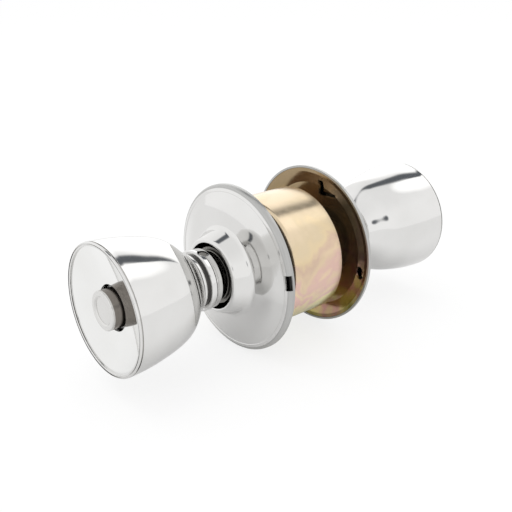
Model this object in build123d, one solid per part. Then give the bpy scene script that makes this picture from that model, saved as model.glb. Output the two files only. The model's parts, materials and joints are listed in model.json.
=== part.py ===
from build123d import *
import math
import os

# Cylindrical knob lockset. The spindle axis is Y: the inside knob points to -Y,
# the outside knob to +Y, +Z is up, and the latch side of the drum faces -X.
# A reach is a distance along the spindle from the middle of the drum, and each
# half is built outwards from there with side = -1 (inside) or +1 (outside).
INSIDE = -1
OUTSIDE = 1

# driving dimensions, in millimetres
knob_rim_radius = 24.4
knob_shoulder = 2.0
knob_back_reach = 43.5
knob_depth = 35.0
knob_wall = 0.9
rim_lip = 1.7
rim_lip_depth = 0.8
face_wall = 0.8
face_dish = 4.1
face_edge_step = 0.2
face_sag_share = 0.32
rose_radius = 33.0
rose_depth = 13.0
rose_wall = 0.8
rose_hole_gap = 1.4
rose_rim_depth = 2.9
rose_rim_round = 1.9
rose_dome_inset = 8.9
rose_dome_rise = 2.3
rose_dome_round = 18.0
rose_crease_width = 4.1
rose_crease_rise = 3.3
rose_crease_round = 1.8
rose_collar_width = 1.5
rose_collar_round = 1.3
pry_slot_width = 6.8
pry_slot_depth = 2.2
pry_slot_edge = 0.9
pry_slot_angle = 8.0
door_thickness = 39.0
drum_radius = 25.7
drum_length = 24.5
drum_wall = 1.2
drum_edge_round = 1.8
window_width = 14.0
window_height = 16.0
spindle_radius = 9.0
spindle_wall = 1.6
spindle_setback = 1.5
hub_wall = 1.95
hub_flange_width = 3.0
hub_flange = 1.2
hub_reach = 30.8
thread_pitch = 1.5
thread_depth = 0.5
neck_step = 1.5
neck_bead = 0.3
neck_bead_width = 1.4
neck_bead_slope = 0.3
neck_bead_end = 0.5
neck_edge = 0.2
sleeve_start = 31.4
neck_start = 35.1
neck_end = 40.1
neck_groove = 1.2
neck_ring_step = 1.0
neck_ring_round = 0.4
sleeve_wall = 0.95
sleeve_reach = 50.0
plate_thickness = 1.1
liner_thickness = 0.9
liner_dish = 1.7
liner_flat_radius = 26.0
liner_edge_width = 1.4
liner_edge_rise = 0.2
lug_slot_width = 3.0
lug_slot_height = 6.3
lug_slot_foot = 9.5
lug_slot_foot_height = 1.8
lug_slot_offset = 3.0
lug_slot_base = 22.0
wire_hole_radius = 2.6
wire_hole_circle = 28.1
wire_hole_angle = -9.5
liner_nut_wall = 3.6
liner_nut_height = 2.2
screw_radius = 1.95
screw_circle = 19.0
screw_head_radius = 3.6
screw_head = 2.0
screw_head_round = 0.9
screw_slot_width = 1.0
screw_slot_depth = 0.9
screw_tip = 0.4
nut_radius = 3.2
nut_height = 2.6
ear_circle = 13.0
ear_radius = 1.6
ear_start = 5.2
ear_bar_width = 6.4
ear_bar_thickness = 1.5
ear_bar_lip = 0.4
ear_gap = 0.6
retractor_travel = 11.2
retractor_width = 8.0
retractor_height = 16.4
retractor_front = 11.3
retractor_back = -16.0
hook_length = 5.5
hook_lip = 2.0
latch_gap = 5.2
cheek_thickness = 4.3
cheek_height = 30.4
rail_thickness = 1.4
return_spring_radius = 1.9
return_spring_wire = 0.3
return_spring_turns = 12
spring_pocket_gap = 0.4
spring_pocket_wall = 0.3
spring_pocket_rear = 3.0
plunger_slot_gap = 0.8
button_radius = 7.2
button_hole_gap = 1.2
button_wall = 1.0
button_cap = 1.4
button_edge_round = 0.5
button_skirt_gap = 1.2
button_travel = 3.6
button_below_rim = 0.1
button_recess_radius = 5.4
button_recess = 0.5
plunger_radius = 1.5
plunger_end = 4.6
plunger_head_radius = 3.0
plunger_head = 1.0
plunger_disc = 2.0
guide_base = 1.2
guide_wall = 1.0
guide_below_face = 2.2
button_spring_radius = 4.4
button_spring_wire = 0.35
button_spring_turns = 9
catch_reach = 37.5
catch_radius = 1.9
catch_travel = 2.1
catch_flange_radius = 2.8
catch_flange = 1.0
catch_seat_gap = 0.8
catch_round = 0.6
catch_below_neck = 0.2
catch_angle = 15.0
leaf_thickness = 0.5
leaf_width = 3.2
leaf_length = 8.0
leaf_foot = 1.4
plug_radius = 6.0
plug_below_rim = 1.5
plug_edge_round = 0.4
cylinder_radius = 8.3
cylinder_hole_gap = 0.3
cylinder_below_rim = 2.1
cylinder_flange = 2.0
tower_width = 5.2
tower_height = 17.0
tower_base = 1.0
tower_cap = 1.2
tower_inner_gap = 2.6
tower_face_gap = 1.0
pin_radius = 1.4
pin_pitch = 3.9
pin_margin = 2.6
key_pin_base = 1.7
key_cut_step = 0.5
driver_length = 4.2
pin_spring_wire = 0.18
pin_spring_turns = 7
shear_gap = 0.1
keyway_width = 2.0
keyway_start = 3.0
keyway_floor = 1.4
keyway_top = 1.5
ward_depth = 0.8
ward_low = -1.6
ward_high = -0.4
clip_room = 1.6
clip_recess = 1.0
clip_groove = 1.0
clip_width = 1.4
clip_thickness = 0.7
clip_opening = 3.0
tailpiece_width = 6.0
tailpiece_thickness = 2.0
tailpiece_gap = 0.7

# the knob's side from its back to its rim: (share of the depth, share of the widening)
knob_side_curve = [
    (0.0, 0.0),
    (0.043, 0.08),
    (0.114, 0.27),
    (0.229, 0.565),
    (0.4, 0.76),
    (0.6, 0.89),
    (0.83, 0.995),
    (1.0, 1.0),
]

# clearances
running = 0.05
loose = 0.1
free = 0.15
play = 0.3

# sizes that follow from the ones above
door_face = door_thickness / 2
drum_end = drum_length / 2
drum_inner = drum_radius - drum_wall
end_wall = drum_end - drum_wall
knob_reach = knob_back_reach + knob_depth
spindle_bore = spindle_radius - spindle_wall
plate_radius = rose_radius - rose_wall - free
hub_bore = spindle_radius + running
hub_radius = hub_bore + hub_wall
sleeve_radius = hub_bore + sleeve_wall
neck_radius = sleeve_radius + neck_step
neck_ring_radius = sleeve_radius + neck_ring_step
knob_back_radius = sleeve_radius + knob_shoulder
rose_hole_radius = neck_radius + rose_hole_gap
button_hole_radius = button_radius + button_hole_gap
cylinder_hole_radius = cylinder_radius + cylinder_hole_gap
ear_bar_end = end_wall - play - free
ear_bar_start = ear_bar_end - ear_bar_thickness
cheek_reach = ear_bar_start - play
lip_radius = knob_rim_radius - rim_lip
face_reach = knob_reach - rim_lip_depth
dish_reach = knob_reach - face_dish
spindle_reach = sleeve_reach - spindle_setback
button_front = knob_reach - button_below_rim
spring_pocket = retractor_front + spring_pocket_rear
spring_pocket_radius = return_spring_radius + spring_pocket_gap
spring_offset = plunger_radius + plunger_slot_gap + spring_pocket_radius + spring_pocket_wall
guide_floor = sleeve_reach + guide_base
plug_front = knob_reach - plug_below_rim
cylinder_front = knob_reach - cylinder_below_rim
tower_start = sleeve_reach + tower_inner_gap
tower_end = dish_reach - face_wall - tower_face_gap
driver_base = plug_radius + running + shear_gap


def turned(side, *outline):
    """A ring or disc turned about the spindle axis from (radius, reach) corners."""
    corners = [(radius, side * reach) for radius, reach in outline]
    return revolve(make_face(Polyline(*corners, close=True)), Axis.Y)


def tube(side, inner, outer, start, end):
    return turned(side, (inner, start), (outer, start), (outer, end), (inner, end))


def rod(side, radius, start, end):
    return turned(side, (0, start), (radius, start), (radius, end), (0, end))


def across(x, z, radius, start, end, side):
    """A rod beside the spindle axis and parallel to it."""
    return Pos(x, 0, z) * rod(side, radius, start, end)


def upright(reach, side, radius, low, high):
    """A round pin that stands across the spindle, along Z."""
    body = Cylinder(radius, high - low, align=(Align.CENTER, Align.CENTER, Align.MIN))
    return Pos(0, side * reach, low) * body


def catch_hole(side, depth):
    hole = upright(catch_reach, side, catch_radius + loose, 0, depth)
    return Rot(0, catch_angle, 0) * hole


def block(x0, x1, y0, y1, z0, z1):
    size = Box(abs(x1 - x0), abs(y1 - y0), abs(z1 - z0))
    return Pos((x0 + x1) / 2, (y0 + y1) / 2, (z0 + z1) / 2) * size


def coil(radius, wire, pitch, length):
    """A coil spring along +Z that starts at the origin."""
    path = Helix(pitch, length, radius)
    return sweep(Plane(path @ 0, z_dir=path % 0) * Circle(wire), path, is_frenet=True)


def save(node, *solids):
    shape = solids[0] if len(solids) == 1 else Compound(children=list(solids))
    export_step(shape, f"parts/{node}.step")


# --- chassis -----------------------------------------------------------------
def chassis_drum():
    # its seam lies in the latch window
    cup = Rot(0, 180, 0) * rod(INSIDE, drum_radius, -drum_end, drum_end)
    cup = fillet(cup.edges().sort_by(Axis.Y)[0], drum_edge_round)
    cup -= rod(INSIDE, drum_inner, -drum_end - 1, end_wall)
    cup -= rod(INSIDE, hub_radius + running, end_wall - 1, drum_end + 1)
    cup -= block(
        -drum_radius - 1, -drum_inner / 2,
        -window_width / 2, window_width / 2,
        -window_height / 2, window_height / 2,
    )
    for z in (-screw_circle, screw_circle):
        cup -= across(0, z, screw_radius + running, end_wall - 1, drum_end + 1, INSIDE)
    return cup


def outside_end_plate():
    return tube(OUTSIDE, hub_radius + running, drum_inner - running, end_wall, drum_end)


def hub(side):
    """Bearing tube for a spindle, with a flange on the drum and a rolled thread."""
    body = tube(side, hub_bore, hub_radius, end_wall, hub_reach)
    flange_radius = hub_radius + hub_flange_width
    body += tube(side, hub_radius, flange_radius, drum_end, drum_end + hub_flange)
    groove = drum_end + hub_flange + thread_pitch
    while groove < hub_reach - thread_pitch:
        body -= turned(
            side,
            (hub_radius - thread_depth, groove),
            (hub_radius + thread_depth, groove - thread_depth * 2),
            (hub_radius + thread_depth, groove + thread_depth * 2),
        )
        groove += 2 * thread_pitch
    return body


def retractor_guide():
    """Two rails and a spring seat, cut round to sit in the drum."""
    slide = retractor_height / 2 + running * 4
    rail_top = slide + rail_thickness
    half = retractor_width / 2 - loose * 2
    frame = block(-drum_radius, drum_radius, -half, half, -rail_top, rail_top)
    seat = retractor_front + retractor_travel + loose * 2
    frame -= block(-drum_radius - 1, seat, -half - 1, half + 1, -slide, slide)
    return frame & rod(OUTSIDE, drum_inner - free, -half - 1, half + 1)


def retractor():
    half = retractor_width / 2
    tall = retractor_height / 2
    body = block(retractor_back, retractor_front, -half, half, -tall, tall)
    slot = plunger_radius + plunger_slot_gap
    body -= block(-retractor_travel - slot, slot, -half - 1, half + 1, -slot, slot)
    for z in (-spring_offset, spring_offset):
        pocket = Cylinder(spring_pocket_radius, 2 * spring_pocket)
        body -= Pos(retractor_front, 0, z) * Rot(0, 90, 0) * pocket
    back = retractor_back - hook_length
    body += block(back, retractor_back, -half, half, -tall, tall)
    body -= block(back - 1, retractor_back, -half - 1, half + 1, -latch_gap / 2, latch_gap / 2)
    body -= block(back + hook_lip, retractor_back, -half - 1, half + 1, -latch_gap, latch_gap)
    shoulder = ear_radius + ear_gap
    for side in (INSIDE, OUTSIDE):
        body += block(
            shoulder, shoulder + cheek_thickness,
            side * half, side * cheek_reach,
            -cheek_height / 2, cheek_height / 2,
        )
    relief = tailpiece_width / 2 + tailpiece_gap
    for side in (INSIDE, OUTSIDE):
        body -= block(
            shoulder - 1, shoulder + cheek_thickness + 1,
            side * half, side * (cheek_reach + 1),
            -relief, relief,
        )
    return body


def retractor_spring(z):
    seat = retractor_front + retractor_travel + loose * 2
    start = retractor_front - spring_pocket + return_spring_wire + running
    length = seat - start - return_spring_wire - running
    pitch = length / return_spring_turns
    spring = coil(return_spring_radius, return_spring_wire, pitch, length)
    return Pos(start, 0, z) * Rot(0, 90, 0) * spring


def mounting_plate():
    plate = tube(INSIDE, hub_radius + free, plate_radius, door_face, door_face + plate_thickness)
    for z in (-screw_circle, screw_circle):
        through = door_face + plate_thickness + 1
        plate -= across(0, z, screw_radius + free, door_face - 1, through, INSIDE)
    return plate


def mounting_screw(z):
    under_head = door_face + plate_thickness
    shank = across(0, z, screw_radius, end_wall - nut_height - screw_tip, under_head, INSIDE)
    head = across(0, z, screw_head_radius, under_head, under_head + screw_head, INSIDE)
    head = fillet(head.edges().group_by(Axis.Y)[0], screw_head_round)
    top = -(under_head + screw_head)
    half = screw_slot_width / 2
    slot = block(
        -screw_head_radius, screw_head_radius,
        top - 1, top + screw_slot_depth,
        z - half, z + half,
    )
    return shank + (head - slot)


def chassis_nut(z):
    flats = RegularPolygon(nut_radius, 6) - Circle(screw_radius + running)
    nut = extrude(Plane.XZ * Pos(0, z) * flats, nut_height)
    return Pos(0, -end_wall + nut_height, 0) * nut


# --- roses -------------------------------------------------------------------
def rose_outline():
    """The outside of a rose as (radius, depth from the door) corners, with their rounds."""
    corners = [
        (rose_radius, 0),
        (rose_radius, rose_rim_depth),
        (rose_radius - rose_dome_inset, rose_rim_depth + rose_dome_rise),
        (rose_hole_radius + rose_crease_width, rose_rim_depth + rose_crease_rise),
        (rose_hole_radius + rose_collar_width, rose_depth),
        (rose_hole_radius, rose_depth),
    ]
    return corners, [rose_rim_round, rose_dome_round, rose_crease_round, rose_collar_round]


def rose(side):
    corners, rounds = rose_outline()
    points = [(radius, door_face + depth) for radius, depth in corners]
    path = FilletPolyline(*points, radius=rounds)
    section = make_face(offset(path, amount=rose_wall, side=Side.LEFT, closed=True))
    body = revolve(section, Axis.Y)
    return body if side == OUTSIDE else mirror(body, Plane.XZ)


def pry_slot():
    """Slot in the inside rose's rim, for the tool that snaps the rose off."""
    start = door_face + pry_slot_edge
    slot = block(
        rose_radius - 4, rose_radius + 1,
        -start, -start - pry_slot_depth,
        -pry_slot_width / 2, pry_slot_width / 2,
    )
    return Rot(0, -pry_slot_angle, 0) * slot


def rose_liner():
    """Dished plate inside the outside rose, threaded on the hub."""
    edge = rose_radius - rose_wall - loose
    hole = hub_radius + free
    path = [
        (edge, door_face + loose),
        (edge - liner_edge_width, door_face + liner_edge_rise),
        (liner_flat_radius, door_face + liner_dish),
        (hole, door_face + liner_dish),
    ]
    lifted = [(radius, reach + liner_thickness) for radius, reach in reversed(path)]
    plate = turned(OUTSIDE, *path, *lifted)
    start, end = door_face - 1, door_face + liner_dish + liner_thickness + 1
    left, base = lug_slot_offset, lug_slot_base
    plate -= block(left, left + lug_slot_width, start, end, base, base + lug_slot_height)
    plate -= block(left, left + lug_slot_foot, start, end, base, base + lug_slot_foot_height)
    hole = across(wire_hole_circle, 0, wire_hole_radius, start, end, OUTSIDE)
    return plate - Rot(0, -wire_hole_angle, 0) * hole


def liner_nut():
    """Ring nut that locks the liner on the outside hub's thread."""
    start = door_face + liner_dish + liner_thickness
    flats = RegularPolygon(hub_radius + liner_nut_wall, 8) - Circle(hub_radius + free)
    nut = extrude(Plane.XZ * flats, -liner_nut_height)
    return Pos(0, start, 0) * nut


# --- knobs -------------------------------------------------------------------
def knob_side(inset, rim):
    """The knob's side as a spline, moved in by inset, with the rim end at reach rim."""
    depth = rim - knob_back_reach
    growth = knob_rim_radius - knob_back_radius
    points = []
    for along, out in knob_side_curve:
        radius = knob_back_radius + growth * out - inset
        points.append((radius, knob_back_reach + depth * along + inset * (1 - along)))
    return Spline(*points)


def knob_shell(side):
    outer = knob_side(0, knob_reach)
    inner = knob_side(knob_wall, face_reach - face_wall - running)
    hole = sleeve_radius + running
    seat = knob_rim_radius - knob_wall
    under_lip = face_reach + running
    back = knob_back_reach
    outline = [
        outer,
        Polyline(outer @ 1, (lip_radius, knob_reach), (lip_radius, under_lip)),
        Polyline((lip_radius, under_lip), (seat, under_lip), inner @ 1),
        inner,
        Polyline(inner @ 0, (hole, back + knob_wall), (hole, back), outer @ 0),
    ]
    body = revolve(make_face(outline), Axis.Y)
    return body if side == OUTSIDE else mirror(body, Plane.XZ)


def knob_face(side, hole):
    """Dished front with a flat edge that the shell's rim is rolled over."""
    edge = knob_rim_radius - knob_wall - loose
    flat = lip_radius - face_edge_step
    middle = (flat + hole) / 2
    sag = dish_reach + (face_reach - dish_reach) * face_sag_share
    front = ThreePointArc((flat, face_reach), (middle, sag), (hole, dish_reach))
    rear = ThreePointArc(
        (hole, dish_reach - face_wall), (middle, sag - face_wall), (flat, face_reach - face_wall)
    )
    outline = [
        Line((edge, face_reach), front @ 0),
        front,
        Line(front @ 1, rear @ 0),
        rear,
        Polyline(rear @ 1, (edge, face_reach - face_wall), (edge, face_reach)),
    ]
    body = revolve(make_face(outline), Axis.Y)
    return body if side == OUTSIDE else mirror(body, Plane.XZ)


def knob_sleeve(side):
    """Shank of a knob: it slides on the spindle and its neck shows behind the rose."""
    bead = neck_end - neck_bead_end
    body = turned(
        side,
        (hub_bore, sleeve_start),
        (sleeve_radius, sleeve_start),
        (sleeve_radius, neck_start),
        (neck_radius - neck_edge, neck_start),
        (neck_radius, neck_start + neck_edge),
        (neck_radius, bead - neck_bead_width - neck_bead_slope),
        (neck_radius + neck_bead, bead - neck_bead_width),
        (neck_radius + neck_bead, bead),
        (neck_radius - neck_edge, neck_end),
        (sleeve_radius, neck_end),
        (sleeve_radius, sleeve_reach),
        (hub_bore, sleeve_reach),
    )
    return body - catch_hole(side, neck_radius + neck_bead + 1)


def neck_ring(side):
    start = neck_end + neck_groove
    ring = tube(side, sleeve_radius + running, neck_ring_radius, start, knob_back_reach - loose)
    rims = ring.edges().filter_by(GeomType.CIRCLE).sort_by(SortBy.RADIUS)[-2:]
    return fillet(rims, neck_ring_round)


def spindle(side):
    """Tube from the drum into the knob, with a cross bar and two ears in the drum."""
    body = tube(side, spindle_bore, spindle_radius, ear_bar_start, spindle_reach)
    half = ear_bar_width / 2
    tip = ear_circle + ear_radius + ear_bar_lip
    bar = block(-half, half, side * ear_bar_start, side * ear_bar_end, -tip, tip)
    bar &= rod(side, tip, ear_bar_start, ear_bar_end)
    bar -= rod(side, spindle_bore, ear_bar_start - 1, ear_bar_end + 1)
    body += bar
    for z in (-ear_circle, ear_circle):
        body += across(0, z, ear_radius, ear_start, ear_bar_end, side)
    return body - catch_hole(side, spindle_radius + 1)


def catch(side):
    """Sprung pin through the spindle wall that holds the knob's sleeve."""
    seat = spindle_bore - catch_seat_gap
    under = seat - catch_flange
    tip = upright(catch_reach, side, catch_radius, under, neck_radius - catch_below_neck)
    tip = fillet(tip.edges().group_by(Axis.Z)[-1], catch_round)
    tip += upright(catch_reach, side, catch_flange_radius, under, seat)
    return Rot(0, catch_angle, 0) * tip


def catch_spring(side):
    """Leaf under the catch, with its foot on the spindle's inner wall."""
    top = spindle_bore - catch_seat_gap - catch_flange - loose
    foot = catch_reach - leaf_length
    half = leaf_width / 2
    leaf = block(
        -half, half,
        side * foot, side * (catch_reach + catch_flange_radius),
        top - leaf_thickness, top,
    )
    leaf += block(
        -half, half,
        side * foot, side * (foot + leaf_foot),
        top, spindle_bore - play,
    )
    return Rot(0, catch_angle, 0) * leaf


# --- push button -------------------------------------------------------------
def button_guide():
    inner = button_radius + running
    outer = inner + guide_wall
    front = dish_reach - guide_below_face
    return turned(
        INSIDE,
        (plunger_radius + running, sleeve_reach),
        (sleeve_radius, sleeve_reach),
        (sleeve_radius, guide_floor),
        (outer, guide_floor),
        (outer, front),
        (inner, front),
        (inner, guide_floor),
        (plunger_radius + running, guide_floor),
    )


def push_button():
    skirt = guide_floor + button_travel + button_skirt_gap
    inner = button_radius - button_wall
    cap = rod(INSIDE, button_radius, skirt, button_front)
    cap = fillet(cap.edges().sort_by(Axis.Y)[0], button_edge_round)
    cap -= rod(INSIDE, inner, skirt - 1, button_front - button_cap)
    return cap - rod(INSIDE, button_recess_radius, button_front - button_recess, button_front + 1)


def button_plunger():
    head = button_front - button_cap
    shaft = rod(INSIDE, plunger_radius, plunger_end, head)
    shaft += rod(INSIDE, plunger_head_radius, head - plunger_head, head)
    disc = drum_end + button_travel
    return shaft + rod(INSIDE, spindle_bore - loose, disc, disc + plunger_disc)


def button_spring():
    start = guide_floor + button_spring_wire + running
    length = button_front - button_cap - button_spring_wire - running - start
    pitch = length / button_spring_turns
    spring = coil(button_spring_radius, button_spring_wire, pitch, length)
    return Pos(0, -start, 0) * Rot(90, 0, 0) * spring


# --- key cylinder ------------------------------------------------------------
def pin_reaches():
    """As many pins as the tower has room for, about its middle."""
    gaps = round((tower_end - tower_start - 2 * pin_margin) / pin_pitch)
    first = (tower_start + tower_end - pin_pitch * gaps) / 2
    return [first + pin_pitch * index for index in range(gaps + 1)]


def cylinder_body():
    bore = plug_radius + running
    back = plug_radius + clip_room
    body = turned(
        OUTSIDE,
        (back, sleeve_reach),
        (sleeve_radius, sleeve_reach),
        (sleeve_radius, sleeve_reach + cylinder_flange),
        (cylinder_radius, sleeve_reach + cylinder_flange),
        (cylinder_radius, cylinder_front),
        (bore, cylinder_front),
        (bore, sleeve_reach + clip_recess),
        (back, sleeve_reach + clip_recess),
    )
    body += block(
        -tower_width / 2, tower_width / 2,
        tower_start, tower_end,
        plug_radius + tower_base, tower_height,
    )
    for reach in pin_reaches():
        body -= upright(reach, OUTSIDE, pin_radius + loose, 0, tower_height - tower_cap)
    return body


def key_plug():
    plug = rod(OUTSIDE, plug_radius, sleeve_reach, plug_front)
    plug = fillet(plug.edges().sort_by(Axis.Y)[-1], plug_edge_round)
    low, high = clip_reaches()
    plug -= tube(OUTSIDE, plug_radius - clip_groove, plug_radius + 1, low - running, high + running)
    half = keyway_width / 2
    start = sleeve_reach + keyway_start
    bottom = keyway_floor - plug_radius
    plug -= block(-half, half, start, plug_front + 1, bottom, keyway_top)
    plug -= block(-half - ward_depth, half, start, plug_front + 1, ward_low, ward_high)
    for reach in pin_reaches():
        plug -= upright(reach, OUTSIDE, pin_radius + loose, 0, plug_radius + 1)
    return plug


def key_pin(reach, index):
    """Lower pin, cut level with the plug, with its own length for each cut of the key."""
    top = math.sqrt(plug_radius**2 - pin_radius**2) - shear_gap
    point = key_pin_base + key_cut_step * (index % 3)
    return upright(reach, OUTSIDE, pin_radius, point, top)


def driver_pin(reach):
    return upright(reach, OUTSIDE, pin_radius, driver_base, driver_base + driver_length)


def pin_spring(reach):
    radius = pin_radius - pin_spring_wire - loose
    base = driver_base + driver_length + pin_spring_wire + running
    length = tower_height - tower_cap - pin_spring_wire - running - base
    spring = coil(radius, pin_spring_wire, length / pin_spring_turns, length)
    return Pos(0, reach, base) * spring


def clip_reaches():
    return sleeve_reach + free, sleeve_reach + free + clip_thickness


def retainer_clip():
    low, high = clip_reaches()
    inner = plug_radius - clip_groove + running
    outer = plug_radius + clip_width
    half = clip_opening / 2
    return tube(OUTSIDE, inner, outer, low, high) - block(-half, half, low - 1, high + 1, -outer - 1, 0)


def tailpiece():
    half = tailpiece_thickness / 2
    wide = tailpiece_width / 2
    return block(-half, half, plunger_end, sleeve_reach, -wide, wide)


# --- write every piece -------------------------------------------------------
os.makedirs("parts", exist_ok=True)

save("chassis_drum", chassis_drum())
save("outside_end_plate", outside_end_plate())
save("retractor_guide", retractor_guide())
save("retractor", retractor())
save("retractor_springs", *[retractor_spring(z) for z in (-spring_offset, spring_offset)])
save("inside_mounting_plate", mounting_plate())
save("mounting_screws", *[mounting_screw(z) for z in (-screw_circle, screw_circle)])
save("chassis_nuts", *[chassis_nut(z) for z in (-screw_circle, screw_circle)])
save("outside_rose_liner", rose_liner())
save("liner_nut", liner_nut())

for name, side in (("inside", INSIDE), ("outside", OUTSIDE)):
    hole = button_hole_radius if side == INSIDE else cylinder_hole_radius
    save(f"{name}_hub", hub(side))
    save(f"{name}_rose", rose(side) - pry_slot() if side == INSIDE else rose(side))
    save(f"{name}_knob_shell", knob_shell(side))
    save(f"{name}_knob_face", knob_face(side, hole))
    save(f"{name}_knob_sleeve", knob_sleeve(side))
    save(f"{name}_neck_ring", neck_ring(side))
    save(f"{name}_spindle", spindle(side))
    save(f"{name}_knob_catch", catch(side))
    save(f"{name}_catch_spring", catch_spring(side))

save("button_guide", button_guide())
save("push_button", push_button())
save("button_plunger", button_plunger())
save("button_spring", button_spring())

save("key_cylinder_body", cylinder_body())
save("key_plug", key_plug())
save("key_pins", *[key_pin(reach, index) for index, reach in enumerate(pin_reaches())])
save("driver_pins", *[driver_pin(reach) for reach in pin_reaches()])
save("pin_springs", *[pin_spring(reach) for reach in pin_reaches()])
save("plug_retainer_clip", retainer_clip())
save("tailpiece", tailpiece())
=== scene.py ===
import json
import math

import bmesh
import bpy
from mathutils import Matrix, Vector

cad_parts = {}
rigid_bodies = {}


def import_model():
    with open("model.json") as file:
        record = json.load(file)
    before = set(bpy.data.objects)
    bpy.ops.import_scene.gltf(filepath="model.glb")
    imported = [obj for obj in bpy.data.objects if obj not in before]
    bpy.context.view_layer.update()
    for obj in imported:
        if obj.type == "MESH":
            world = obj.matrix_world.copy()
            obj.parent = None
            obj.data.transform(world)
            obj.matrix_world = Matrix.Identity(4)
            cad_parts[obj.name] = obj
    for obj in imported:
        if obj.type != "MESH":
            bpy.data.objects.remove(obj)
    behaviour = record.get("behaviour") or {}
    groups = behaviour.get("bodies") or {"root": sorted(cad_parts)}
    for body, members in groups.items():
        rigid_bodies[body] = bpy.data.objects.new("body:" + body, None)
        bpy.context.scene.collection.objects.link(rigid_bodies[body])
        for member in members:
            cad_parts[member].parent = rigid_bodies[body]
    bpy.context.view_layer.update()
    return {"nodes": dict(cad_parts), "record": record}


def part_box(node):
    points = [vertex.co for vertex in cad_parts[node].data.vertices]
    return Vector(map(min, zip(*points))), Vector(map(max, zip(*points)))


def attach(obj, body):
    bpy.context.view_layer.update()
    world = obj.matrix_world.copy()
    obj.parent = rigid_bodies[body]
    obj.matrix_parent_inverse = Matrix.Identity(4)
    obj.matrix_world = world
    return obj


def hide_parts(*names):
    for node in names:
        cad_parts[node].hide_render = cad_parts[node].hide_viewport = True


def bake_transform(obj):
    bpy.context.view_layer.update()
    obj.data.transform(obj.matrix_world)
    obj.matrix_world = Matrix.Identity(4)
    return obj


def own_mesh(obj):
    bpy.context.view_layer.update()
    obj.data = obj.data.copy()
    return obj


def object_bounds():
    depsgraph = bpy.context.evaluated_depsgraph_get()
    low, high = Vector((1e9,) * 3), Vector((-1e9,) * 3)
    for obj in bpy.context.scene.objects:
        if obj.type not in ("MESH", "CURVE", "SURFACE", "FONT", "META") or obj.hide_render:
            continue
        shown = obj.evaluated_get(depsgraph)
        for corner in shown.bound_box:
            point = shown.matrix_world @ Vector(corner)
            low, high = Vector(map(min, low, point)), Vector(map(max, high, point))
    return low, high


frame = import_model()
mm = 0.001
inside, outside = -1, 1  # which way each side reaches along Y


class Signal:
    # an output socket that takes part in plain expressions
    def __init__(self, sheet, socket):
        self.sheet = sheet
        self.socket = socket

    def join(self, operation, first, second):
        return self.sheet.add("ShaderNodeMath", {"operation": operation}, {0: first, 1: second})

    def __add__(self, other):
        return self.join("ADD", self, other)

    def __radd__(self, other):
        return self.join("ADD", other, self)

    def __sub__(self, other):
        return self.join("SUBTRACT", self, other)

    def __rsub__(self, other):
        return self.join("SUBTRACT", other, self)

    def __mul__(self, other):
        return self.join("MULTIPLY", self, other)

    def __rmul__(self, other):
        return self.join("MULTIPLY", other, self)

    def __truediv__(self, other):
        return self.join("DIVIDE", self, other)

    def __rtruediv__(self, other):
        return self.join("DIVIDE", other, self)

    def __pow__(self, other):
        return self.join("POWER", self, other)

    def __gt__(self, other):
        return self.join("GREATER_THAN", self, other)


class Sheet:
    # one node tree, material or world, that nodes are added to
    def __init__(self, owner):
        owner.use_nodes = True
        self.owner = owner
        self.tree = owner.node_tree
        self.tree.nodes.clear()

    def add(self, kind, settings=None, inputs=None, output=0):
        node = self.tree.nodes.new(kind)
        for key, value in (settings or {}).items():
            if key == "stops":
                ramp = node.color_ramp
                while len(ramp.elements) < len(value):
                    ramp.elements.new(1.0)
                for element, (position, colour) in zip(ramp.elements, value):
                    element.position = position
                    element.color = (*colour, 1.0)
            else:
                setattr(node, key, value)
        for key, value in (inputs or {}).items():
            if isinstance(value, Signal):
                self.tree.links.new(value.socket, node.inputs[key])
            else:
                node.inputs[key].default_value = value
        return Signal(self, node.outputs[output]) if node.outputs else node

    def point(self):
        # object coordinates
        return self.add("ShaderNodeTexCoord", output=3)

    def split(self, vector):
        # x, y and z of a vector
        first = self.add("ShaderNodeSeparateXYZ", None, {"Vector": vector})
        return [Signal(self, socket) for socket in first.socket.node.outputs]

    def turned(self, point):
        # distance from the spindle axis, and place along it
        x, y, z = self.split(point)
        return (x * x + z * z) ** 0.5, y

    def noise(self, vector, scale, detail=3.0, roughness=0.5, distortion=0.0):
        sizes = {"Vector": vector, "Scale": scale, "Detail": detail,
                 "Roughness": roughness, "Distortion": distortion}
        return self.add("ShaderNodeTexNoise", None, sizes)

    def lines(self, radius, along, scale):
        # fine rings round the axis, as turning and buffing leave them
        flat = self.add("ShaderNodeCombineXYZ", None, {0: radius, 1: along, 2: 0.0})
        sizes = {"Vector": flat, "Scale": scale, "Detail": 2.0}
        return self.add("ShaderNodeTexNoise", {"noise_dimensions": "2D"}, sizes)

    def ramp(self, factor, stops):
        return self.add("ShaderNodeValToRGB", {"stops": stops}, {"Fac": factor})

    def fade(self, signal, low, high, start=0.0, end=1.0):
        # goes smoothly from start at low to end at high
        return self.add("ShaderNodeMapRange", {"interpolation_type": "SMOOTHSTEP"},
                        {0: signal, 1: low, 2: high, 3: start, 4: end})

    def blend(self, factor, first, second):
        settings = {"data_type": "RGBA", "clamp_factor": True}
        return self.add("ShaderNodeMix", settings, {0: factor, 6: first, 7: second}, 2)

    def bump(self, height, strength, distance):
        sizes = {"Height": height, "Strength": strength, "Distance": distance}
        return self.add("ShaderNodeBump", None, sizes)

    def surface(self, inputs):
        shader = self.add("ShaderNodeBsdfPrincipled", None, inputs)
        self.add("ShaderNodeOutputMaterial", None, {"Surface": shader})
        return self.owner


def newSheet(name):
    return Sheet(bpy.data.materials.new(name))


polish = {"base": (0.70, 0.695, 0.685), "stain": (0.63, 0.625, 0.61), "smear": 55.0, "smearStart": 0.35,
          "smearGain": 1.6, "rough": 0.07, "spread": 0.06, "lineShare": 0.6, "lineScale": 2600.0,
          "lineDepth": 0.004 * mm, "bump": 0.25}


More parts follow.
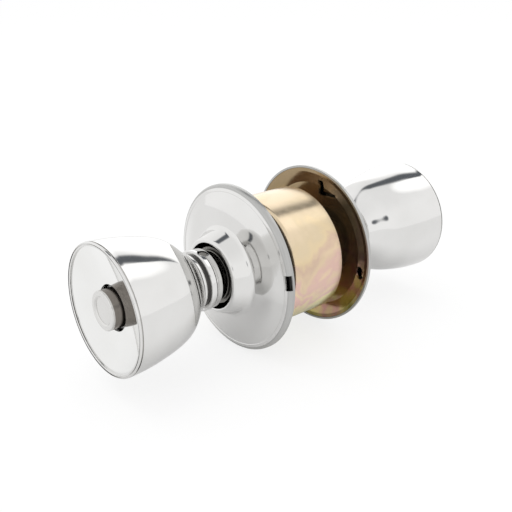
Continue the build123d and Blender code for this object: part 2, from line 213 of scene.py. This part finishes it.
def buffed(sheet, point, fine, look):
    # colour and roughness of buffed steel, with faint smears
    cloud = sheet.noise(point, look["smear"], 4.0, 0.55)
    smear = (cloud - look["smearStart"]) * look["smearGain"]
    base = sheet.blend(smear, (*look["base"], 1), (*look["stain"], 1))
    rough = look["rough"] + (cloud - 0.4) * look["spread"] + (fine - 0.5) * look["spread"] * look["lineShare"]
    return base, rough


def polishedMetal(name, look):
    sheet = newSheet(name)
    point = sheet.point()
    radius, along = sheet.turned(point)
    fine = sheet.lines(radius, along, look["lineScale"])
    base, rough = buffed(sheet, point, fine, look)
    bump = sheet.bump(fine, look["bump"], look["lineDepth"])
    return sheet.surface({"Base Color": base, "Metallic": 1.0, "Roughness": rough, "Normal": bump})


rim = {"start": 31.6 * mm, "base": (0.40, 0.40, 0.39), "cover": 0.45, "streaks": 0.8, "rough": 0.30,
       "lineScale": 5200.0}


def roseMetal(name, look):
    # polished dome, duller rolled rim with the marks of the roller
    sheet = newSheet(name)
    point = sheet.point()
    radius, along = sheet.turned(point)
    fine = sheet.lines(radius, along, look["lineScale"])
    rolled = sheet.lines(along, radius, rim["lineScale"])
    band = radius > rim["start"]
    base, rough = buffed(sheet, point, fine, look)
    base = sheet.blend(band * (rim["cover"] + rolled * rim["streaks"]), base, (*rim["base"], 1))
    rough = rough + band * (rim["rough"] - look["rough"])
    bump = sheet.bump(fine * (1 - band) + rolled * band, look["bump"], look["lineDepth"] * 2)
    return sheet.surface({"Base Color": base, "Metallic": 1.0, "Roughness": rough, "Normal": bump})


zinc = {"stops": [(0.0, (0.44, 0.42, 0.15)), (0.12, (0.76, 0.68, 0.34)), (0.21, (0.80, 0.68, 0.40)),
                  (0.29, (0.73, 0.47, 0.43)), (0.37, (0.75, 0.60, 0.40)), (0.46, (0.69, 0.47, 0.41)),
                  (0.54, (0.70, 0.55, 0.38)), (0.63, (0.62, 0.46, 0.35)), (0.72, (0.70, 0.56, 0.36)),
                  (0.86, (0.66, 0.54, 0.37)), (1.0, (0.71, 0.58, 0.41))],
        "reach": 25.7 * mm, "drift": 1.15, "streak": 0.45, "speckle": 0.12, "cloudScale": 46.0,
        "grainScale": 420.0, "runs": (160, 30, 30), "rough": 0.22, "roughSpread": 0.16, "metallic": 0.92,
        "bump": 0.2, "depth": 0.02 * mm, "shade": 1.0, "paintedShadeDeepen": 1.0}


def yellowZinc(name, look):
    # the bloom of a yellow passivate drifts from gold through pink to green
    sheet = newSheet(name)
    point = sheet.point()
    broad = sheet.noise(point, look["cloudScale"], 3.0, 0.5, 0.6)
    fine = sheet.noise(point, look["grainScale"], 4.0, 0.6)
    height = sheet.split(point)[2] / look["reach"] * 0.5 + 0.5
    stretched = sheet.add("ShaderNodeVectorMath", {"operation": "MULTIPLY"}, {0: point, 1: look["runs"]})
    runs = sheet.noise(stretched, 1.0)
    drift = height + (broad - 0.5) * look["drift"] + (runs - 0.5) * look["streak"]
    drift = drift + (fine - 0.5) * look["speckle"]
    # shade and deepen darken and deepen the stops; below 1 and above 1 they paint shade on the zinc, as for
    # the liner
    stops = [(at, tuple(look["shade"] * channel ** look["paintedShadeDeepen"] for channel in colour))
             for at, colour in look["stops"]]
    rough = look["rough"] + (fine - 0.5) * look["roughSpread"]
    return sheet.surface({"Base Color": sheet.ramp(drift, stops), "Metallic": look["metallic"],
                          "Roughness": rough, "Normal": sheet.bump(fine, look["bump"], look["depth"])})


stamped = {"grain": 900.0, "blotch": 90.0, "blotchGain": 1.3, "blotchStart": 0.2, "spread": 0.2, "bump": 0.3,
           "depth": 0.02 * mm, "metallic": 1.0}


def stampedMetal(name, look):
    # plain pressed or cast metal, blotched and slightly grained
    sheet = newSheet(name)
    point = sheet.point()
    fine = sheet.noise(point, look["grain"], 4.0, 0.6)
    broad = sheet.noise(point, look["blotch"])
    blotch = broad * look["blotchGain"] - look["blotchStart"]
    colour = sheet.blend(blotch, (*look["base"], 1), (*look["dark"], 1))
    rough = look["rough"] + (fine - 0.5) * look["spread"]
    return sheet.surface({"Base Color": colour, "Metallic": look["metallic"], "Roughness": rough,
                          "Normal": sheet.bump(fine, look["bump"], look["depth"])})


cap = {"front": (0.66, 0.655, 0.64), "side": (0.23, 0.21, 0.19), "frontDepth": 0.9 * mm, "rough": 0.30,
       "frontRough": 0.06, "spread": 0.14, "lineScale": 5200.0, "bump": 0.35, "depth": 0.01 * mm}


def buttonMetal(name, look, front):
    # bright turned front, dull brushed side
    sheet = newSheet(name)
    radius, along = sheet.turned(sheet.point())
    fine = sheet.lines(radius, along, look["lineScale"])
    face = along * -1.0 > front - look["frontDepth"]
    base = sheet.blend(face, (*look["side"], 1), (*look["front"], 1))
    rough = look["rough"] - face * look["frontRough"] + (fine - 0.5) * look["spread"]
    return sheet.surface({"Base Color": base, "Metallic": 1.0, "Roughness": rough,
                          "Normal": sheet.bump(fine, look["bump"], look["depth"])})


polished = {
    "polished_steel": {},
    "face_steel": {"base": (0.80, 0.80, 0.79), "stain": (0.75, 0.745, 0.73), "rough": 0.06, "spread": 0.03},
    "neck_chrome": {"rough": 0.05, "spread": 0.04},
}
plain = {
    "dark_steel": {"base": (0.10, 0.095, 0.09), "dark": (0.05, 0.05, 0.05), "rough": 0.35},
    "plain_steel": {"base": (0.30, 0.29, 0.27), "dark": (0.17, 0.165, 0.155), "rough": 0.36},
    "spring_steel": {"base": (0.50, 0.50, 0.50), "dark": (0.35, 0.35, 0.36), "rough": 0.3},
    "brass": {"base": (0.86, 0.70, 0.40), "dark": (0.72, 0.55, 0.28), "rough": 0.24},
    "cast_zinc": {"base": (0.55, 0.55, 0.54), "dark": (0.40, 0.40, 0.40), "rough": 0.46, "metallic": 0.9},
    "screw_zinc": {"base": (0.74, 0.74, 0.70), "dark": (0.58, 0.58, 0.52), "rough": 0.3},
}
# the liner: the same yellow zinc with painted shade, darker and deeper, standing in for the shade in the gap
# between the roses
linerPaintedShade = {"rough": 0.16, "reach": 33 * mm, "shade": 0.56, "paintedShadeDeepen": 1.5}

finishes = {
    "rose_steel": roseMetal("rose_steel", {**polish, "smear": 40.0}),
    "button_metal": buttonMetal("button_metal", cap, abs(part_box("push_button")[0].y)),
    "yellow_zinc": yellowZinc("yellow_zinc", zinc),
    # dark_zinc is yellow_zinc with painted shade
    "dark_zinc": yellowZinc("dark_zinc", {**zinc, **linerPaintedShade}),
}
for name, look in polished.items():
    finishes[name] = polishedMetal(name, {**polish, **look})
for name, look in plain.items():
    finishes[name] = stampedMetal(name, {**stamped, **look})
print("finishes:", len(finishes))

for part in frame["record"]["subparts"]:
    node = frame["nodes"][part["node"]]
    node.data.materials.clear()
    node.data.materials.append(finishes[part["material_slot"]])
# the inside mounting plate takes the near-black dark_steel in place of its own zinc: painted shade for the
# shaded space inside the rose
frame["nodes"]["inside_mounting_plate"].data.materials[0] = finishes["dark_steel"]


spun = {"steps": 192, "cornerSteps": 8, "merge": 0.002 * mm, "sharp": 32.0}


def smoothLine(controls, steps):
    # a smooth run drawn by (radius, reach) control points, as plain corners without rounds
    curve = bpy.data.curves.new("line", "CURVE")
    curve.dimensions = "3D"
    curve.resolution_u = steps
    spline = curve.splines.new("NURBS")
    spline.points.add(len(controls) - 1)
    for control, (radius, reach) in zip(spline.points, controls):
        control.co = (radius, reach, 0, 1)
    spline.order_u = 4
    spline.use_endpoint_u = True
    holder = bpy.data.objects.new("line", curve)
    line = bpy.data.meshes.new_from_object(holder)
    corners = [(vertex.co.x, vertex.co.y, 0) for vertex in line.vertices]
    bpy.data.objects.remove(holder)
    bpy.data.meshes.remove(line)
    return corners


def openWindow(mesh, window):
    # takes out what lies in an x, y and z range of the frame turned round the spindle, on its +X side
    turned = Matrix.Rotation(math.radians(window["turn"]), 3, "Y")

    def middleOf(face):
        return turned.inverted() @ face.calc_center_median()

    for axis, limits in enumerate(window["range"]):
        normal = Vector((axis == 0, axis == 1, axis == 2))
        for limit in limits:
            near = [face for face in mesh.faces if middleOf(face).x > 0]
            edges = dict.fromkeys(edge for face in near for edge in face.edges)
            corners = dict.fromkeys(vertex for face in near for vertex in face.verts)
            bmesh.ops.bisect_plane(mesh, geom=near + list(edges) + list(corners), dist=1e-7,
                                   plane_co=turned @ (normal * limit), plane_no=turned @ normal)
    gone = [face for face in mesh.faces
            if all(low < value < high for value, (low, high) in zip(middleOf(face), window["range"]))]
    bmesh.ops.delete(mesh, geom=gone, context="FACES")


def smoothFaces(data):
    for face in data.polygons:
        face.use_smooth = True
    data.set_sharp_from_angle(angle=math.radians(spun["sharp"]))


def finishPiece(name, mesh, body, slot):
    data = bpy.data.meshes.new(name)
    mesh.to_mesh(data)
    mesh.free()
    smoothFaces(data)
    data.materials.append(finishes[slot])
    piece = bpy.data.objects.new(name, data)
    bpy.context.scene.collection.objects.link(piece)
    if body:
        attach(piece, body)
    return piece


def spunPiece(name, side, outline, body, slot, wall=0.0, closed=False, window=None):
    # outline: (radius, reach, round) corners in metres; a round is how far it starts from its corner
    mesh = bmesh.new()
    corners = [(mesh.verts.new((radius, side * reach, 0)), size) for radius, reach, size in outline]
    path = [vertex for vertex, size in corners]
    for first, second in zip(path, path[1:] + path[:1] if closed else path[1:]):
        mesh.edges.new((first, second))
    for vertex, size in corners:
        if size:
            bmesh.ops.bevel(mesh, geom=[vertex], offset=size, affect="VERTICES",
                            segments=spun["cornerSteps"], profile=0.5, material=-1)
    bmesh.ops.spin(mesh, geom=mesh.verts[:] + mesh.edges[:], cent=(0, 0, 0), axis=(0, 1, 0),
                   angle=2 * math.pi, steps=spun["steps"], use_merge=True)
    bmesh.ops.remove_doubles(mesh, verts=mesh.verts[:], dist=spun["merge"])
    bmesh.ops.recalc_face_normals(mesh, faces=mesh.faces[:])
    if window:
        openWindow(mesh, window)
    if wall:
        bmesh.ops.solidify(mesh, geom=mesh.faces[:], thickness=wall)
    return finishPiece(name, mesh, body, slot)


def drill(piece, radius, start, end):
    # a round hole through the piece from start to end, both points in metres
    along = Vector(end) - Vector(start)
    aimed = along.to_track_quat("Z", "Y").to_matrix().to_4x4()
    place = Matrix.Translation((Vector(start) + Vector(end)) / 2) @ aimed
    mesh = bmesh.new()
    bmesh.ops.create_cone(mesh, cap_ends=True, segments=64, radius1=radius, radius2=radius,
                          depth=along.length)
    bmesh.ops.transform(mesh, verts=mesh.verts[:], matrix=place)
    data = bpy.data.meshes.new("bit")
    mesh.to_mesh(data)
    mesh.free()
    bit = bpy.data.objects.new("bit", data)
    bpy.context.scene.collection.objects.link(bit)
    cutting = piece.modifiers.new("hole", "BOOLEAN")
    cutting.object = bit
    cutting.solver = "EXACT"
    solid = piece.evaluated_get(bpy.context.evaluated_depsgraph_get())
    shaped = bpy.data.meshes.new_from_object(solid)
    piece.modifiers.clear()
    piece.data = shaped
    smoothFaces(shaped)
    bpy.data.objects.remove(bit)


def reachOf(node):
    # largest radius of a node, and how near and how far it reaches along the spindle
    low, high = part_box(node)
    near, far = sorted((abs(low.y), abs(high.y)))
    return high.x, near, far


# the side's (radius, reach) points and the rim's (inset, depth, round) corners are in millimetres
knob = {"side": [(12.0, 0.0), (12.9, 1.7), (16.6, 5.3), (19.7, 8.6), (21.75, 14.8), (23.2, 21.8),
                 (24.25, 28.6), (24.4, 35.0)],
        "sideSteps": 9,
        "rimCap": [(0.0, 1.15, 0.06), (0.6, 1.1, 0), (0.6, 0.72, 0), (0.05, 0.66, 0.08), (0.3, 0.0, 0.3),
                   (0.60, 0.0, 0.06), (0.62, 0.62, 0), (0.92, 0.62, 0), (0.94, 0.04, 0.08), (1.55, 0.1, 0.2)],
        "lip": 1.55 * mm, "bore": 10.05 * mm, "wall": 0.9 * mm, "linedTo": 6 * mm}
knob["rim"] = knob["side"][-1][0] * mm


def knobShell(name, side):
    back, front = reachOf(f"{name}_knob_shell")[1:]
    depth, wall = knob["side"][-1][1], knob["wall"]
    controls = [(radius * mm, back + (front - back) * along / depth) for radius, along in knob["side"]]
    line = smoothLine(controls, knob["sideSteps"])
    outline = [(knob["bore"], back + wall, 0), (knob["bore"], back, 0)] + line[:-1]
    outline += [(knob["rim"] - inset * mm, front - drop * mm, size * mm)
                for inset, drop, size in knob["rimCap"]]
    outline += [(knob["rim"] - knob["lip"], front - wall, 0), (knob["rim"] - wall, front - wall, 0)]
    inner = [(radius - wall, reach + wall * (front - reach) / (front - back), 0)
             for radius, reach, size in line if reach < front - knob["linedTo"]]
    shell = spunPiece(f"{name}_shell", side, outline + inner[::-1], f"{name}_knob", "polished_steel",
                      closed=True)
    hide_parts(f"{name}_knob_shell")


# the dish goes out from the hole and rises to the rim by these shares
face = {"wall": 0.8 * mm, "hole": {"inside": 8.4 * mm, "outside": 8.6 * mm}, "holeRound": 0.45 * mm,
        "edge": 0.5 * mm, "dish": [(0, 0), (0.3, 0.16), (0.66, 0.5), (1, 1)], "dishSteps": 16}


def knobFace(name, side):
    widest, dish, flat = reachOf(f"{name}_knob_face")
    wall, hole = face["wall"], face["hole"][name]
    dish += wall
    rim = knob["rim"] - knob["lip"] - face["edge"]
    controls = [(hole + (rim - hole) * out, dish + (flat - dish) * rise) for out, rise in face["dish"]]
    run = smoothLine(controls, face["dishSteps"])
    outline = [(hole, dish - wall, 0), (hole, dish, face["holeRound"]), *run[1:], (widest, flat, 0),
               (widest, flat - wall, 0), (rim, flat - wall, 0)]
    outline += [(radius, reach - wall, 0) for radius, reach, size in run[-2:0:-1]]
    piece = spunPiece(f"{name}_face", side, outline, f"{name}_knob", "face_steel", closed=True)
    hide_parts(f"{name}_knob_face")


neck = {"sleeve": 10.0 * mm, "bore": 9.05 * mm, "collar": 11.5 * mm, "collarSpan": (35.1 * mm, 40.1 * mm),
        "bead": 0.3 * mm, "beadWidth": 0.5 * mm, "beadSwell": 1.6 * mm, "beadStart": 0.3 * mm,
        "taper": 0.1 * mm, "edge": 0.3 * mm, "soft": 0.2 * mm, "corner": 0.1 * mm,
        "bandRound": 0.85 * mm, "groove": 0.12 * mm, "catchHole": 2.0 * mm}


def knobNeck(name, side):
    body, sleeve, collar, soft = f"{name}_knob", neck["sleeve"], neck["collar"], neck["soft"]
    ring, start, end = reachOf(f"{name}_neck_ring")
    outline = [(sleeve, start, 0), (ring, start, neck["bandRound"]), (ring, end, neck["bandRound"]),
               (sleeve, end, 0)]
    band = spunPiece(f"{name}_band", side, outline, body, "neck_chrome", closed=True)
    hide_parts(f"{name}_neck_ring")

    near, far = reachOf(f"{name}_knob_sleeve")[1:]
    low, high = neck["collarSpan"]
    bead = high - neck["beadWidth"]
    swell = bead - neck["beadSwell"]
    outline = [(neck["bore"], near, 0), (sleeve, near, soft), (sleeve, low, neck["corner"]),
               (collar, low, neck["edge"]), (collar, swell - neck["beadStart"], soft),
               (collar + neck["bead"], swell, soft), (collar + neck["bead"], bead, soft),
               (collar - neck["taper"], high, neck["edge"]), (sleeve, high, neck["corner"]),
               (sleeve, far, 0), (neck["bore"], far, 0)]
    shank = spunPiece(f"{name}_shank", side, outline, body, "neck_chrome", closed=True)
    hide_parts(f"{name}_knob_sleeve")

    # a thin near-black ring laid on the sleeve in the gap between collar and band: painted shade, so the gap
    # reads black
    outline = [(sleeve, high, 0), (sleeve + neck["groove"], high, 0), (sleeve + neck["groove"], start, 0),
               (sleeve, start, 0)]
    shade = spunPiece(f"{name}_groove", side, outline, body, "plain_steel", closed=True)
    shade.data.materials[0] = finishes["dark_steel"]
    pin = sum(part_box(f"{name}_knob_catch"), Vector()) / 2
    drill(shank, neck["catchHole"], (0, pin.y, 0), (pin.x * 2, pin.y, pin.z * 2))


rose = {"wall": 0.8 * mm, "hole": 12.9 * mm, "holeRound": 0.35 * mm, "returned": 1.2 * mm,
        "rim": 2.9 * mm, "rimRound": 1.3 * mm, "rimDrop": 0.85 * mm, "rimWidth": 2.5 * mm,
        "step": 0.22 * mm, "stepDrop": 0.05 * mm, "stepRound": 0.08 * mm,
        "dome": (8.9 * mm, 2.3 * mm, 3.0 * mm), "crease": (4.1 * mm, 3.3 * mm, 1.4 * mm),
        "collar": (1.5 * mm, 1.1 * mm),
        "slot": {"turn": -8.0,
                 "range": ((29 * mm, 34 * mm), (-22.2 * mm, -20.4 * mm), (-2.8 * mm, 2.8 * mm))}}


def roseCover(name, side):
    edge, back, front = reachOf(f"{name}_rose")
    rim, hole = back + rose["rim"], rose["hole"]
    inset, rise, bend = rose["dome"]
    width, lift, fold = rose["crease"]
    outline = [
        (edge, back, 0),
        (edge, rim - rose["rimDrop"], rose["rimRound"]),
        (edge - rose["rimWidth"], rim - rose["stepDrop"], rose["stepRound"]),
        (edge - rose["rimWidth"] - rose["step"], rim - rose["step"], rose["stepRound"]),
        (edge - inset, rim + rise, bend),
        (hole + width, rim + lift, fold),
        (hole + rose["collar"][0], front, rose["collar"][1]),
        (hole, front, rose["holeRound"]),
        (hole, front - rose["returned"], 0),
    ]
    window = rose["slot"] if side == inside else None
    cover = spunPiece(f"{name}_cover", side, outline, "chassis", "polished_steel", rose["wall"],
                      window=window)
    cover.data.materials[0] = finishes["rose_steel"]
    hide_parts(f"{name}_rose")


button = {"ring": 5.4 * mm, "ringRound": 0.2 * mm, "groove": 0.5 * mm, "grooveRound": 0.15 * mm,
          "floor": 0.5 * mm, "crown": 0.22 * mm, "crownEdge": 0.1 * mm, "crownRound": 0.4 * mm,
          "frontRound": 0.4 * mm, "wall": 1.0 * mm, "cap": 1.6 * mm}


def pushButton():
    radius, skirt, front = reachOf("push_button")
    ring, floor = button["ring"], front - button["floor"]
    outline = [
        (0, floor + button["crown"], 0),
        (ring - button["groove"] * 2, floor + button["crownEdge"], button["crownRound"]),
        (ring - button["groove"], floor, button["grooveRound"]),
        (ring, front, button["ringRound"]),
        (radius, front, button["frontRound"]),
        (radius, skirt, 0),
        (radius - button["wall"], skirt, 0),
        (radius - button["wall"], front - button["cap"], 0),
        (0, front - button["cap"], 0),
    ]
    piece = spunPiece("button_cap", inside, outline, "button", "button_metal")
    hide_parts("push_button")


for name, side in (("inside", inside), ("outside", outside)):
    knobShell(name, side)
    knobFace(name, side)
    knobNeck(name, side)
    roseCover(name, side)
pushButton()
print("spun pieces done")


springs = {"retractor_springs": "return_coils", "button_spring": "button_coil",
           "inside_catch_spring": "inside_leaf", "outside_catch_spring": "outside_leaf"}


def givingSpring(joint, facts):
    # a copy of a spring's node, baked in place when it bends or hung on its joint's parent otherwise; its
    # shape does not follow the joint
    node, mode = facts["node"], facts["mode"]
    fixed = next(value for key, value in facts.items() if key.startswith("fixed_end"))
    mesh = bmesh.new()
    mesh.from_mesh(frame["nodes"][node].data)
    bmesh.ops.transform(mesh, matrix=frame["nodes"][node].matrix_world, verts=mesh.verts[:])
    bmesh.ops.remove_doubles(mesh, verts=mesh.verts[:], dist=0.001 * mm)
    if mode == "bend":
        piece = finishPiece(springs[node], mesh, None, "spring_steel")
        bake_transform(piece)
    else:
        axis = "xyz".index(mode[-1])
        along = Vector((axis == 0, axis == 1, axis == 2))
        length = max(abs(corner[axis] - fixed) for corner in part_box(node))
        piece = finishPiece(springs[node], mesh, joint["parent"], "spring_steel")
        keep = 1 - joint["range_m"][1] / length
        along * fixed
        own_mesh(piece)
    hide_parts(node)


for joint in frame["record"]["behaviour"]["joints"]:
    for facts in joint.get("deforming_nodes", []):
        givingSpring(joint, facts)
print("springs done")


# spots are (direction, where the fade starts, where it is full)
studio = {"plain": 1.17, "top": 1.06, "topStart": 0.55, "topEnd": 0.92, "soft": 0.92, "window": 1.55,
          "windows": [((-0.56, 0.78, 0.26), 0.80, 0.90), ((0.128, 0.602, 0.788), 0.945, 0.985)],
          "bar": (0.14, 0.15, 0.165), "barAcross": (0.859, -0.3125, 0.407), "barEdge": (0.003, 0.03),
          "barEnds": [((-1.0, -0.03, 0.0), 0.0, 0.03), ((-0.574, 0.819, 0.0), 0.0, 0.16)],
          "opening": ((0.70, -0.60, 0.38), 0.988, 0.997)}


def buildWorld():
    # a white tent with two bright windows and a dark bar over it, as polished metal shows them
    world = bpy.data.worlds.new("studio")
    bpy.context.scene.world = world
    sheet = Sheet(world)
    ray = sheet.add("ShaderNodeTexCoord")
    up = sheet.split(ray)[2]

    def towards(direction):
        return sheet.add("ShaderNodeVectorMath", {"operation": "DOT_PRODUCT"}, {0: ray, 1: direction}, 1)

    def spot(direction, low, high):
        return sheet.fade(towards(direction), low, high)

    across = towards(studio["barAcross"])
    bar = 1 - sheet.fade(across * across, *studio["barEdge"])
    for end in studio["barEnds"]:
        bar = bar * spot(*end)
    plainLevel, topLevel = (studio["plain"],) * 3, (studio["top"],) * 3
    tent = sheet.ramp(up, [(0.0, plainLevel), (studio["topStart"], plainLevel), (studio["topEnd"], topLevel)])
    for window in studio["windows"]:
        tent = sheet.blend(spot(*window), tent, (studio["window"],) * 3 + (1,))
    for dark in (bar, spot(*studio["opening"])):
        tent = sheet.blend(dark, tent, (*studio["bar"], 1))
    camera = sheet.add("ShaderNodeLightPath")
    glossy = sheet.add("ShaderNodeLightPath", output=3)
    soft = sheet.blend(camera, (studio["soft"],) * 3 + (1,), (1, 1, 1, 1))
    colour = sheet.blend(glossy, soft, tent)
    background = sheet.add("ShaderNodeBackground", None, {"Color": colour, "Strength": 1.0})
    sheet.add("ShaderNodeOutputWorld", None, {"Surface": background})


table = {"size": 4.0, "colour": 0.86, "glow": 1.08, "cameraShare": 0.72, "nearSpindle": (0.004, 0.055),
         "mirrorShare": (0.25, 0.9)}


def buildFloor():
    mesh = bmesh.new()
    bmesh.ops.create_grid(mesh, x_segments=1, y_segments=1, size=table["size"])
    bmesh.ops.translate(mesh, verts=mesh.verts[:], vec=(0, 0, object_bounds()[0][2]))
    data = bpy.data.meshes.new("floor")
    mesh.to_mesh(data)
    mesh.free()
    floor = bpy.data.objects.new("floor", data)
    bpy.context.scene.collection.objects.link(floor)
    sheet = newSheet("table")
    camera = sheet.add("ShaderNodeLightPath")
    glossy = sheet.add("ShaderNodeLightPath", output=3)
    shade = sheet.add("ShaderNodeBsdfDiffuse", None, {"Color": (table["colour"],) * 3 + (1,)})
    glow = sheet.add("ShaderNodeEmission", None, {"Color": (1, 1, 1, 1), "Strength": table["glow"]})
    x = sheet.split(sheet.point())[0]
    away = sheet.fade((x * x) ** 0.5, *table["nearSpindle"], *table["mirrorShare"])
    share = camera * table["cameraShare"] + glossy * away
    mix = sheet.add("ShaderNodeMixShader", None, {0: share, 1: shade, 2: glow})
    sheet.add("ShaderNodeOutputMaterial", None, {"Surface": mix})
    data.materials.append(sheet.owner)


lamp = {"place": (-0.25, -0.1, 0.9), "size": (0.9, 0.9), "power": 1.5}


def buildLamp():
    data = bpy.data.lights.new("overhead", "AREA")
    data.shape = "RECTANGLE"
    data.size, data.size_y = lamp["size"]
    data.energy = lamp["power"]
    holder = bpy.data.objects.new("overhead", data)
    aimed = (-Vector(lamp["place"])).to_track_quat("-Z", "Y").to_matrix().to_4x4()
    holder.matrix_world = Matrix.Translation(lamp["place"]) @ aimed
    holder.visible_glossy = False  # the tent alone is mirrored
    bpy.context.scene.collection.objects.link(holder)


view = {"azimuth": 49.4, "elevation": 22.5, "distance": 0.295, "aimY": -8.8 * mm, "sensor": 36,
        "lens": 52.383, "shiftX": -0.00332, "shiftY": 0.00859}


def buildCamera():
    turn, rise = math.radians(view["azimuth"]), math.radians(view["elevation"])
    back = Vector((math.sin(turn) * math.cos(rise), -math.cos(turn) * math.cos(rise), math.sin(rise)))
    data = bpy.data.cameras.new("camera")
    data.sensor_width = view["sensor"]
    data.lens = view["lens"]
    data.shift_x, data.shift_y = view["shiftX"], view["shiftY"]
    data.clip_start = 0.01
    camera = bpy.data.objects.new("camera", data)
    place = Vector((0, view["aimY"], 0)) + back * view["distance"]
    camera.matrix_world = Matrix.Translation(place) @ (-back).to_track_quat("-Z", "Y").to_matrix().to_4x4()
    bpy.context.scene.collection.objects.link(camera)
    bpy.context.scene.camera = camera


buildWorld()
buildFloor()
buildLamp()
buildCamera()
bpy.context.scene.view_settings.view_transform = "Standard"
print("stage done")
